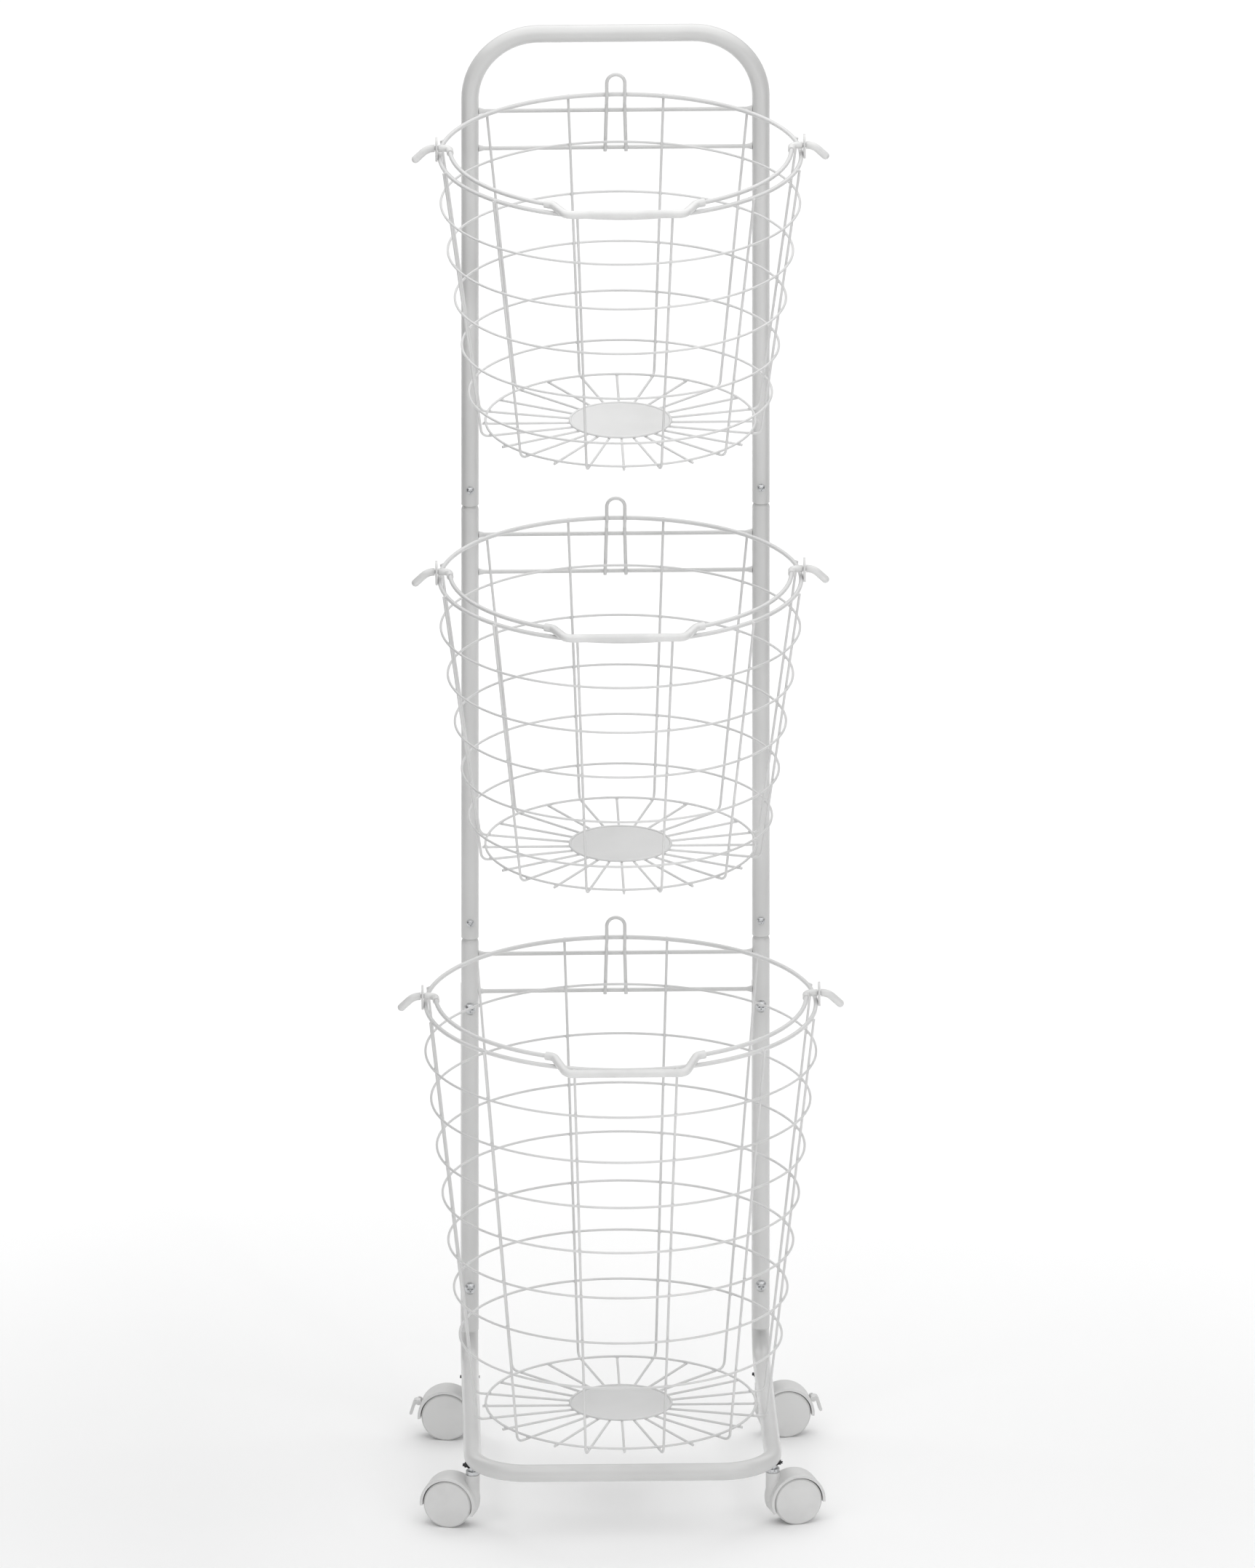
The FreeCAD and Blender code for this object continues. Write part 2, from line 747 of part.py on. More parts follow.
def make_staves(basket):
    """Twelve wires down the side, bent in under the floor ring and on to the floor disc."""
    body = new_body(f"{basket.name}_staves")
    top = basket.stave_top + basket.lean * size.stave_rise
    path = new_sketch(body, "XZ_Plane", f"{basket.name}_stave_path")
    corner = (basket.floor_radius, -basket.spoke_drop)
    points = ((top, size.stave_rise), corner, (size.spoke_start, -basket.spoke_drop))
    edges = add_bent_line(path, points, size.floor_bend)
    section = new_sketch(body, "YZ_Plane", f"{basket.name}_stave_section", size.spoke_start)
    add_circle(section, 0, -basket.spoke_drop, size.stave_wire / 2)
    polar_copies(body, pipe(body, section, path, edges), 12)
    basket.put(body)
    body.Placement.Rotation = FreeCAD.Rotation(VERTICAL, 15)


def make_spokes(basket):
    """Twelve short floor wires between the staves, ending just outside the floor ring."""
    body = new_body(f"{basket.name}_spokes")
    section = new_sketch(body, "YZ_Plane", f"{basket.name}_spoke_section", size.spoke_start)
    add_circle(section, 0, -basket.spoke_drop, size.stave_wire / 2)
    reach = basket.ring_radius + size.spoke_overhang - size.spoke_start
    polar_copies(body, pad(body, section, reach), 12)
    basket.put(body)


def make_floor_disc(basket):
    """A pressed disc with a rolled edge, welded on the inner ends of the floor wires."""
    body = new_body(f"{basket.name}_floor_disc")
    under = -basket.spoke_drop + size.stave_wire / 2
    bead = size.disc_bead / 2
    plate = new_sketch(body, "XZ_Plane", f"{basket.name}_disc_section")
    edge = size.disc_radius - bead
    thickness = size.disc_thickness
    add_outline(plate, ((0, under), (edge, under), (edge, under + thickness), (0, under + thickness)))
    revolve(body, plate, "V_Axis")
    rolled = new_sketch(body, "XZ_Plane", f"{basket.name}_disc_bead")
    add_circle(rolled, edge, under + bead, bead)
    revolve(body, rolled, "V_Axis")
    basket.put(body)


def make_ears(basket):
    """A small plate with a hole, welded upright on each side of the rim."""
    body = new_body(f"{basket.name}_ears")
    outline = new_sketch(body, "YZ_Plane", f"{basket.name}_ear_outline", basket.ear_x)
    half = size.ear_width / 2
    add_outline(outline, ((-half, -size.ear_bottom), (half, -size.ear_bottom), (half, size.ear_top),
                          (-half, size.ear_top)))
    pad(body, outline, size.ear_thickness)
    for amount, height in ((size.ear_round, size.ear_top), (size.ear_foot_round, -size.ear_bottom)):
        dress(body, "Fillet", amount, lambda edge: is_level_corner(edge, height.number))
    hole = new_sketch(body, "YZ_Plane", f"{basket.name}_ear_hole", basket.ear_x)
    add_circle(hole, 0, size.pivot_rise, size.bail_wire_dia / 2 + size.pivot_play)
    pocket(body, hole, size.ear_thickness * 2, midplane=True)
    pattern = body.newObject("PartDesign::PolarPattern", f"{basket.name}_ear_pair")
    pattern.TransformMode = "Whole shape"
    pattern.Axis = (origin_feature(body, "Z_Axis"), [""])
    pattern.Angle = 360
    pattern.Occurrences = 2
    body.Tip = pattern
    basket.put(body)


def is_level_corner(edge, height):
    """True for an edge that runs through the plate's thickness at this height."""
    box = edge.BoundBox
    return box.YLength < 1e-6 and box.ZLength < 1e-6 and abs(box.ZMin - height) < 1e-6


def bail_lines(basket):
    """The bail's centreline: one arm and side, then the front from sleeve end to sleeve end."""
    ear_out = basket.ear_x + size.ear_thickness
    radius = basket.rim_radius - size.bail_inset
    side_arm = [
        vector(ear_out + size.arm_reach, 0, -size.arm_drop),
        vector(ear_out + size.arm_straight, 0, 0),
        vector(radius, 0, 0),
        vector(radius, -size.bail_turn, 0),
    ]
    arm = bent_edges(side_arm, [size.arm_bend.number, size.bail_turn.number])
    sleeve_end = size.grip_sleeve_half.number
    swing = math.acos(sleeve_end / radius.number)
    centre = vector(0, -size.bail_turn, 0)
    middle = centre + radius.number * FreeCAD.Vector(math.cos(swing / 2), -math.sin(swing / 2), 0)
    end = centre + radius.number * FreeCAD.Vector(math.cos(swing), -math.sin(swing), 0)
    side = Part.Arc(side_arm[-1], middle, end).toShape()
    heading = FreeCAD.Vector(-math.sin(swing), -math.cos(swing), 0)
    front = [
        end,
        end + heading * size.bail_lead.number,
        vector(size.grip_half, -basket.rim_radius - basket.grip_out, -basket.grip_drop),
    ]
    bends = [size.bail_bend.number] * 4
    return arm, side, bent_edges(mirrored_points(front), bends)


def mirrored_edges(edges):
    """The same chain mirrored in the YZ plane and walked the other way."""
    copies = []
    for edge in reversed(edges):
        ends = [edge.valueAt(value) for value in (edge.LastParameter, edge.FirstParameter)]
        ends = [FreeCAD.Vector(-point.x, point.y, point.z) for point in ends]
        if isinstance(edge.Curve, Part.Circle):
            middle = edge.valueAt((edge.FirstParameter + edge.LastParameter) / 2)
            bow = Part.Arc(ends[0], FreeCAD.Vector(-middle.x, middle.y, middle.z), ends[1])
            copies.append(bow.toShape())
        else:
            copies.append(Part.makeLine(*ends))
    return copies


def inner_sleeves(basket, bore):
    """The moulded sleeves on the wire's bends inside the two ears, and a little way along its sides."""
    radius = basket.rim_radius - size.bail_inset
    bend_end = vector(radius, -size.bail_turn, 0)
    line = [vector(basket.ear_x - size.arm_start, 0, 0), vector(radius, 0, 0), bend_end]
    centre = vector(0, -size.bail_turn, 0)
    swing = size.inner_sleeve_tail.number / radius.number
    middle, end = [centre + radius.number * FreeCAD.Vector(math.cos(angle), -math.sin(angle), 0)
                   for angle in (swing / 2, swing)]
    edges = bent_edges(line, [size.bail_turn.number]) + [Part.Arc(bend_end, middle, end).toShape()]
    sleeve = sweep(edges, size.inner_sleeve_dia.number / 2).cut(sweep(edges, bore))
    return [sleeve, sleeve.mirror(FreeCAD.Vector(), FreeCAD.Vector(1, 0, 0))]


def make_bail(basket):
    """A wire bail in the two ears, with a moulded sleeve on its grip and on each arm."""
    arm, side, front = bail_lines(basket)
    wire_radius = size.bail_wire_dia.number / 2
    wire = sweep(arm + [side] + front + mirrored_edges(arm + [side]), wire_radius)
    bore = wire_radius + size.sleeve_play.number
    grip = sweep(front, size.grip_dia.number / 2).cut(sweep(front, bore))
    ear_out = basket.ear_x + size.ear_thickness
    arm_radius = size.arm_dia.number / 2
    tip = vector(ear_out + size.arm_reach, 0, -size.arm_drop)
    sleeve_line = [
        vector(ear_out + size.arm_start, 0, 0),
        vector(ear_out + size.arm_straight, 0, 0),
        tip,
    ]
    sleeve_edges = bent_edges(sleeve_line, [size.arm_bend.number])
    sleeve = sweep(sleeve_edges, arm_radius).fuse(Part.makeSphere(arm_radius, tip))
    sleeve = sleeve.removeSplitter().cut(sweep(sleeve_edges, bore))
    other = sleeve.mirror(FreeCAD.Vector(), FreeCAD.Vector(1, 0, 0))
    tilt = math.degrees(math.atan2(basket.bail_fall.number, basket.rim_radius.number))
    turn = FreeCAD.Rotation(FreeCAD.Vector(1, 0, 0), tilt)
    ends = Part.makeCompound([sleeve, other] + inner_sleeves(basket, bore))
    shapes = (("bail_wire", wire), ("bail_grip", grip), ("bail_ends", ends))
    for name, shape in shapes:
        item = solid_feature(f"{basket.name}_{name}", shape)
        pivot = vector(0, basket.y, basket.rim_height + size.pivot_rise)
        item.Placement = FreeCAD.Placement(pivot, turn)


def make_basket(basket):
    make_rim(basket)
    make_hoops(basket)
    make_staves(basket)
    make_spokes(basket)
    make_floor_disc(basket)
    make_ears(basket)
    make_bail(basket)


# ---------------------------------------------------------------- casters
class Caster:
    """The place of one caster. Its own frame has the stem on Z and the wheels towards -X."""

    def __init__(self, end, side):
        self.name = f"{end}_{'left' if side < 0 else 'right'}"
        self.side = side
        self.braked = end == "rear"
        yaw = getattr(size, f"{end}_caster_yaw").number
        self.yaw = -yaw if side < 0 else 180 + yaw
        self.x, self.y = stem_place(end, side)

    def put(self, item, x=0, z=0, half_turn=False):
        """Place an item that is x along the caster's own frame from its stem."""
        spin = FreeCAD.Rotation(VERTICAL, self.yaw)
        moved = spin.multVec(FreeCAD.Vector(1, 0, 0))
        yaw = self.yaw + (180 if half_turn else 0)
        place(item, self.x + moved.x * x, self.y + moved.y * x, z, yaw)


wheel_radius = size.wheel_dia / 2
envelope_radius = wheel_radius + size.hood_gap
hood_radius = envelope_radius + size.hood_wall
hood_width = size.web_thickness + (size.wheel_gap + size.wheel_width) * 2 + size.hood_width_play
lever_radius = hood_radius + size.lever_stand


def make_stem(caster):
    """Threaded stud with its flange and collar, and the pin that the hood swivels on."""
    body = new_body(f"{caster.name}_stem")
    pin_radius = size.pin_dia / 2
    stud_radius = size.stud_dia / 2
    collar_base = neck_top + size.collar_gap
    collar_top = collar_base + size.collar_height
    flange_top = caster_height
    flange_base = flange_top - size.flange_height
    outline = new_sketch(body, "XZ_Plane", f"{caster.name}_stem_section")
    add_outline(outline, (
        (0, neck_top - size.pin_length),
        (pin_radius, neck_top - size.pin_length),
        (pin_radius, collar_base),
        (size.collar_dia / 2, collar_base),
        (size.collar_dia / 2, collar_top),
        (stud_radius, collar_top),
        (stud_radius, flange_base),
        (size.flange_dia / 2, flange_base),
        (size.flange_dia / 2, flange_top),
        (stud_radius, flange_top),
        (stud_radius, flange_top + size.stud_length),
        (0, flange_top + size.stud_length),
    ))
    revolve(body, outline, "V_Axis")
    caster.put(body)


def side_cylinder(name, radius, width, x, z, sweep_angle=None, start_angle=0.0):
    """A cylinder, or a sector of one, that lies across the caster and is centred on its middle."""
    item = doc.addObject("Part::Cylinder", name)
    bind(item, "Radius", radius)
    bind(item, "Height", width)
    if sweep_angle is not None:
        bind(item, "Angle", sweep_angle)
    lying = FreeCAD.Rotation(FreeCAD.Vector(1, 0, 0), 90)
    spin = FreeCAD.Rotation(VERTICAL, start_angle)
    item.Placement = FreeCAD.Placement(vector(x, width / 2, z), lying.multiply(spin))
    for axis, value in (("x", x), ("y", width / 2), ("z", z)):
        bind(item, f"Placement.Base.{axis}", value)
    return item


def boolean(kind, name, *shapes):
    item = doc.addObject(f"Part::{kind}", name)
    if kind == "Cut":
        item.Base, item.Tool = shapes
    else:
        item.Shapes = list(shapes)
    return item


def make_hood(caster):
    """A moulded cover over both wheels, with a web between them and a neck for the stem."""
    name = caster.name
    x = -size.caster_trail
    z = wheel_radius
    start = -size.hood_front_angle.number
    cover = side_cylinder(f"{name}_cover", hood_radius, hood_width, x, z, size.hood_sweep, start)
    doc.recompute()
    rounded = doc.addObject("Part::Fillet", f"{name}_rounded_cover")
    rounded.Base = cover
    amount = size.hood_round.number
    rims = [number for number, edge in enumerate(cover.Shape.Edges, 1)
            if isinstance(edge.Curve, Part.Circle) and edge.Length > hood_radius.number]
    rounded.Edges = [(number, amount, amount) for number in rims]
    neck = doc.addObject("Part::Cylinder", f"{name}_neck")
    bind(neck, "Radius", size.neck_dia / 2)
    bind(neck, "Height", neck_top - wheel_radius)
    bind(neck, "Placement.Base.z", wheel_radius)
    outside = boolean("MultiFuse", f"{name}_outside", rounded, neck)
    room = side_cylinder(f"{name}_wheel_room", envelope_radius, hood_width * 2, x, z)
    shell = boolean("Cut", f"{name}_shell", outside, room)
    web_radius = envelope_radius + size.hood_wall / 2
    web = side_cylinder(f"{name}_web", web_radius, size.web_thickness, x, z, size.hood_sweep, start)
    hub = side_cylinder(f"{name}_hub", size.hub_dia / 2, size.web_thickness, x, z)
    pieces = [shell, web, hub]
    holes = [side_cylinder(f"{name}_axle_bore", size.axle_dia / 2, hood_width, x, z)]
    if caster.braked:
        lever_x, lever_z = lever_place()
        lug_width = size.lever_width + (size.lug_gap + size.lug_width) * 2
        lug = side_cylinder(f"{name}_lug_bar", size.lug_dia / 2, lug_width, lever_x, lever_z)
        gap = side_cylinder(f"{name}_lug_gap", size.lug_dia, size.lever_width + size.lug_gap * 2,
                            lever_x, lever_z)
        lugs = boolean("Cut", f"{name}_lugs", lug, gap)
        pieces.append(boolean("Cut", f"{name}_clear_lugs", lugs, side_cylinder(
            f"{name}_lug_room", envelope_radius, hood_width * 2, x, z)))
        pin_hole = size.lever_pin_dia / 2 + size.lever_pin_play
        holes.append(side_cylinder(f"{name}_lever_hole", pin_hole, hood_width, lever_x, lever_z))
    bore = doc.addObject("Part::Cylinder", f"{name}_stem_bore")
    bind(bore, "Radius", size.pin_dia / 2 + size.pin_play)
    bind(bore, "Height", size.pin_length * 2)
    bind(bore, "Placement.Base.z", neck_top - size.pin_length - size.collar_gap)
    holes.append(bore)
    solid = boolean("MultiFuse", f"{name}_moulding", *pieces)
    hood = boolean("Cut", f"{name}_hood", solid, boolean("MultiFuse", f"{name}_bores", *holes))
    hood.Label = f"{name}_hood"
    caster.put(hood)


def make_axle(caster):
    axle = doc.addObject("Part::Cylinder", f"{caster.name}_axle")
    axle.Label = f"{caster.name}_axle"
    half = size.web_thickness / 2 + size.wheel_gap + size.wheel_width - size.wheel_cap - size.axle_gap
    bind(axle, "Radius", size.axle_dia / 2)
    bind(axle, "Height", half * 2)
    lying = FreeCAD.Rotation(FreeCAD.Vector(1, 0, 0), 90)
    axle.Placement = FreeCAD.Placement(vector(0, half, 0), lying)
    bind(axle, "Placement.Base.y", half)
    holder = doc.addObject("Part::Compound", f"{caster.name}_axle_in_place")
    axle.Label = f"{caster.name}_axle_rod"
    holder.Links = [axle]
    holder.Label = f"{caster.name}_axle"
    caster.put(holder, -size.caster_trail, wheel_radius)


def make_wheels(caster):
    """Two moulded wheels on one axle. Each turns by itself, and its cap hides the axle's end."""
    inner = -size.web_thickness / 2 - size.wheel_gap
    outer = inner - size.wheel_width
    bore = size.axle_dia / 2 + size.axle_play
    edge = size.wheel_edge
    for end, half_turn in (("front", caster.side > 0), ("rear", caster.side < 0)):
        body = new_body(f"{caster.name}_wheel_{end}")
        outline = new_sketch(body, "YZ_Plane", f"{caster.name}_{end}_wheel_section")
        add_outline(outline, (
            (inner, bore),
            (inner, wheel_radius - edge),
            (inner - edge, wheel_radius),
            (outer + edge, wheel_radius),
            (outer, wheel_radius - edge),
            (outer, 0),
            (outer + size.wheel_cap, 0),
            (outer + size.wheel_cap, bore),
        ))
        revolve(body, outline, "H_Axis")
        caster.put(body, -size.caster_trail, wheel_radius, half_turn)


def lever_place():
    """The brake lever's pivot in the caster's own frame."""
    angle = math.radians(size.lever_angle.number)
    x = lever_radius * math.cos(angle) - size.caster_trail
    return x, lever_radius * math.sin(angle) + wheel_radius


# the lever seen from the side, round from its pivot: a rounded eye, then a tab that hangs down
LEVER_OUTLINE = (
    (0.9, -1.6), (1.6, 0), (0.9, 1.6), (-2.8, 2.1), (-4.9, 1.0), (-5.6, -1.0), (-8.6, -11.0),
    (-8.3, -12.3), (-7.0, -12.7), (-5.9, -11.9), (-3.4, -3.8), (-2.4, -2.4),
)


def make_brake_lever(caster):
    """A foot tab that pivots between two lugs on the hood and presses towards the wheels."""
    body = new_body(f"{caster.name}_brake_lever")
    outline = new_sketch(body, "XZ_Plane", f"{caster.name}_lever_outline")
    add_outline(outline, LEVER_OUTLINE)
    pad(body, outline, size.lever_width, midplane=True)
    trunnion = new_sketch(body, "XZ_Plane", f"{caster.name}_lever_pin")
    add_circle(trunnion, 0, 0, size.lever_pin_dia / 2)
    pad(body, trunnion, size.lever_width + (size.lug_gap + size.lug_width) * 2, midplane=True)
    x, z = lever_place()
    caster.put(body, x, z)


def make_caster(caster):
    make_stem(caster)
    make_hood(caster)
    make_axle(caster)
    make_wheels(caster)
    if caster.braked:
        make_brake_lever(caster)


# ---------------------------------------------------------------- the cart
baskets = [
    Basket("top", top_rim, "small"),
    Basket("middle", middle_rim, "small"),
    Basket("bottom", bottom_rim, "large"),
]
casters = [Caster(end, side) for end in ("front", "rear") for side in (-1, 1)]

make_handle()
for side, side_name in ((-1, "left"), (1, "right")):
    make_post(f"middle_post_{side_name}", side, lower_joint, upper_joint, True, ())
    bolts = (lower_bolt, upper_bolt)
    make_post(f"lower_post_{side_name}", side, post_foot, lower_joint, False, bolts)
make_base_loop()
make_fasteners()
make_crossbars()
make_group("basket_hooks", make_hook(), [(0, post_y, rim) for rim in tier_heights()])
for basket in baskets:
    make_basket(basket)
for caster in casters:
    make_caster(caster)
doc.recompute()

# ---------------------------------------------------------------- checks and files
NODES = ["handle_tube", "middle_post_left", "middle_post_right", "lower_post_left", "lower_post_right",
         "base_loop", "crossbars", "basket_hooks", "joint_screws", "base_bolts", "base_nuts"]
BASKET_PIECES = ("rim", "hoops", "staves", "spokes", "floor_disc", "ears", "bail_wire", "bail_grip",
                 "bail_ends")
NODES += [f"{basket.name}_{piece}" for basket in baskets for piece in BASKET_PIECES]
CASTER_PIECES = ("stem", "hood", "axle", "wheel_front", "wheel_rear")
NODES += [f"{caster.name}_{piece}" for caster in casters for piece in CASTER_PIECES]
NODES += [f"{caster.name}_brake_lever" for caster in casters if caster.braked]

for item in doc.Objects:
    if {"Invalid", "Error"} & set(item.State):
        raise RuntimeError(f"{item.Label} did not recompute: {item.State}")

os.makedirs("parts", exist_ok=True)
for node in NODES:
    item = doc.getObjectsByLabel(node)[0]
    shape = item.Shape
    if shape.isNull() or not shape.isValid():
        raise RuntimeError(f"{node} has no valid shape")
    shape.exportStep(os.path.join("parts", f"{node}.step"))
print(f"{len(NODES)} parts written")
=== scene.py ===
import math

import bmesh
import bpy
from mathutils import Matrix, Vector


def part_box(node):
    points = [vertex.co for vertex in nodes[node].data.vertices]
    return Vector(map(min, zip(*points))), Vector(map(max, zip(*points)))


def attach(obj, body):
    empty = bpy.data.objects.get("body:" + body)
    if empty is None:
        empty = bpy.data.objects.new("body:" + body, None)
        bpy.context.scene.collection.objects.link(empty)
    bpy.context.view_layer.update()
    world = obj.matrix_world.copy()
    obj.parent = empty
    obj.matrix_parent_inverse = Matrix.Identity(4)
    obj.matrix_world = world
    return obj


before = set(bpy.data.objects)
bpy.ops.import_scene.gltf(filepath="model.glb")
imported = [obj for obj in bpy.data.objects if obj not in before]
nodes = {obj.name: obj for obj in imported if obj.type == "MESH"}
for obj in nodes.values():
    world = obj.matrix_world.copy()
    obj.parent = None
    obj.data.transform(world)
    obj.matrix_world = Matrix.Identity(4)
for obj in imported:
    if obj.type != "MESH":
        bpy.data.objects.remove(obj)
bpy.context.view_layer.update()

# ------------------------------------------------------------ frame tubes
# Five steel tubes and one long base loop, bent cold and sprayed with white powder, then baked.
# The coat has a fine orange peel and is satin all over. A darker line at each joint is painted shade of
# the gap there, and partly a thinner coat on the cut ends.
FRAME_WHITE = (0.695, 0.695, 0.69, 1)
FRAME_SHADE = (0.635, 0.635, 0.63, 1)
# Colour of the line at each joint: painted shade of the gap, partly also the bare cut ends.
JOINT_SHADE_AND_BARE_EDGE = (0.42, 0.42, 0.41, 1)
FRAME_PEEL = 620.0
JOINT_MARK_REACH = 0.0012
JOINT_SHADE_AND_WEAR = 0.55


def new_group(name, inputs, outputs):
    group = bpy.data.node_groups.new(name, "ShaderNodeTree")
    for label, kind, value in inputs:
        socket = group.interface.new_socket(label, in_out="INPUT", socket_type=kind)
        socket.default_value = value
    for label, kind in outputs:
        group.interface.new_socket(label, in_out="OUTPUT", socket_type=kind)
    return group, group.nodes.new("NodeGroupInput"), group.nodes.new("NodeGroupOutput")


def noise(tree, where, scale, detail):
    texture = tree.nodes.new("ShaderNodeTexNoise")
    texture.inputs["Detail"].default_value = detail
    tree.links.new(where, texture.inputs["Vector"])
    if isinstance(scale, (int, float)):
        texture.inputs["Scale"].default_value = scale
    else:
        tree.links.new(scale, texture.inputs["Scale"])
    return texture.outputs["Fac"]


def sum_of(tree, operation, *values):
    """A Math node of these values, each a socket or a number."""
    node = tree.nodes.new("ShaderNodeMath")
    node.operation = operation
    for slot, value in enumerate(values):
        if isinstance(value, (int, float)):
            node.inputs[slot].default_value = value
        else:
            tree.links.new(value, node.inputs[slot])
    return node.outputs[0]


def ramp(tree, value, low, high):
    """0 at low and 1 at high, smooth in between."""
    node = tree.nodes.new("ShaderNodeMapRange")
    node.interpolation_type = "SMOOTHSTEP"
    tree.links.new(value, node.inputs["Value"])
    node.inputs["From Min"].default_value = low
    node.inputs["From Max"].default_value = high
    return node.outputs["Result"]


def blend_colors(tree, amount, first, second):
    node = tree.nodes.new("ShaderNodeMix")
    node.data_type = "RGBA"
    tree.links.new(amount, node.inputs["Factor"])
    for slot, value in (("A", first), ("B", second)):
        socket = next(s for s in node.inputs if s.name == slot and s.type == "RGBA")
        if isinstance(value, tuple):
            socket.default_value = value
        else:
            tree.links.new(value, socket)
    return next(s for s in node.outputs if s.type == "RGBA")


def make_coat_group():
    """Baked powder: slow changes of tone, and orange peel."""
    group, given, out = new_group(
        "powder_coat",
        [("White", "NodeSocketColor", FRAME_WHITE), ("Shade", "NodeSocketColor", FRAME_SHADE),
         ("Peel Scale", "NodeSocketFloat", FRAME_PEEL), ("Satin", "NodeSocketFloat", 0.27),
         ("Satin Change", "NodeSocketFloat", 0.10)],
        [("Color", "NodeSocketColor"), ("Roughness", "NodeSocketFloat"), ("Height", "NodeSocketFloat")])
    where = group.nodes.new("ShaderNodeTexCoord").outputs["Object"]
    cloud = noise(group, where, 9.0, 3.0)
    peel = noise(group, where, given.outputs["Peel Scale"], 1.5)
    pits = noise(group, where, sum_of(group, "MULTIPLY", given.outputs["Peel Scale"], 3.1), 1.0)
    tone = ramp(group, cloud, 0.35, 0.68)
    color = blend_colors(group, tone, given.outputs["White"], given.outputs["Shade"])
    rough = sum_of(group, "MULTIPLY_ADD", cloud, given.outputs["Satin Change"], given.outputs["Satin"])
    height = sum_of(group, "MULTIPLY_ADD", pits, 0.18, peel)
    group.links.new(color, out.inputs["Color"])
    group.links.new(rough, out.inputs["Roughness"])
    group.links.new(height, out.inputs["Height"])
    return group


coat_group = make_coat_group()


def new_material(name, specular=0.5, coat=0.0, coat_rough=0.12):
    """A material with only its Principled shader and output."""
    material = bpy.data.materials.new(name)
    material.use_nodes = True
    tree = material.node_tree
    tree.nodes.clear()
    shader = tree.nodes.new("ShaderNodeBsdfPrincipled")
    shader.inputs["Specular IOR Level"].default_value = specular
    shader.inputs["Coat Weight"].default_value = coat
    shader.inputs["Coat Roughness"].default_value = coat_rough
    output = tree.nodes.new("ShaderNodeOutputMaterial")
    tree.links.new(shader.outputs["BSDF"], output.inputs["Surface"])
    return material, tree, shader


def place_group(tree, group, **values):
    node = tree.nodes.new("ShaderNodeGroup")
    node.node_tree = group
    for name, value in values.items():
        node.inputs[name.replace("_", " ")].default_value = value
    return node


def add_bump(tree, shader, height, strength, distance):
    bump = tree.nodes.new("ShaderNodeBump")
    bump.inputs["Strength"].default_value = strength
    bump.inputs["Distance"].default_value = distance
    tree.links.new(height, bump.inputs["Height"])
    tree.links.new(bump.outputs["Normal"], shader.inputs["Normal"])


def give(material, *names):
    """This finish on these CAD pieces."""
    for name in names:
        mesh = nodes[name].data
        if not mesh.materials:
            mesh.materials.append(material)
        for slot in nodes[name].material_slots:
            slot.link = "OBJECT"
            slot.material = material


def axis_value(tree, axis):
    split = tree.nodes.new("ShaderNodeSeparateXYZ")
    tree.links.new(tree.nodes.new("ShaderNodeTexCoord").outputs["Object"], split.inputs[0])
    return split.outputs[axis]


def near_heights(tree, heights, reach):
    """1 at each of these heights and 0 further off than reach."""
    height = axis_value(tree, "Z")
    found = None
    for level in heights:
        off = sum_of(tree, "ABSOLUTE", sum_of(tree, "SUBTRACT", height, level))
        mask = sum_of(tree, "SUBTRACT", 1.0, ramp(tree, off, reach * 0.4, reach))
        found = mask if found is None else sum_of(tree, "MAXIMUM", found, mask)
    return found


def make_frame_coat():
    material, tree, shader = new_material("frame_powder", coat=0.3)
    coat = place_group(tree, coat_group)
    joints = [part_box(name)[0].z for name in ("handle_tube", "middle_post_left", "lower_post_left")]
    # Painted shade: a darker line at each joint, where the gap between tubes lies in shade, partly also
    # a thinner coat on the cut ends.
    worn = sum_of(tree, "MULTIPLY", near_heights(tree, joints, JOINT_MARK_REACH), JOINT_SHADE_AND_WEAR)
    color = blend_colors(tree, worn, coat.outputs["Color"], JOINT_SHADE_AND_BARE_EDGE)
    tree.links.new(color, shader.inputs["Base Color"])
    tree.links.new(coat.outputs["Roughness"], shader.inputs["Roughness"])
    add_bump(tree, shader, coat.outputs["Height"], 0.20, 0.0004)
    return material


frame_coat = make_frame_coat()
give(frame_coat, "handle_tube", "middle_post_left", "middle_post_right", "lower_post_left",
     "lower_post_right", "base_loop")

# ------------------------------------------------------------ crossbars and hooks
# Steel rods welded between the posts, with a bent wire hook welded across each pair of them.
# They are sprayed with the frame, so the coat runs over the ripples of the weld at each rod's end.
WELD_START = 0.1185
WELD_FADE = 0.0015
WELD_RIPPLE = 1500.0
WELD_HEIGHT = 2.5


def make_bar_coat():
    material, tree, shader = new_material("crossbar_powder", coat=0.3)
    coat = place_group(tree, coat_group, Peel_Scale=800.0, Satin=0.29)
    tree.links.new(coat.outputs["Color"], shader.inputs["Base Color"])
    tree.links.new(coat.outputs["Roughness"], shader.inputs["Roughness"])
    out = sum_of(tree, "ABSOLUTE", axis_value(tree, "X"))
    weld = ramp(tree, out, WELD_START, WELD_START + WELD_FADE)
    where = tree.nodes.new("ShaderNodeTexCoord").outputs["Object"]
    ripple = sum_of(tree, "MULTIPLY", noise(tree, where, WELD_RIPPLE, 0.0), WELD_HEIGHT)
    raised = sum_of(tree, "MULTIPLY_ADD", ripple, weld, coat.outputs["Height"])
    add_bump(tree, shader, raised, 0.25, 0.0004)
    return material


give(make_bar_coat(), "crossbars", "basket_hooks")

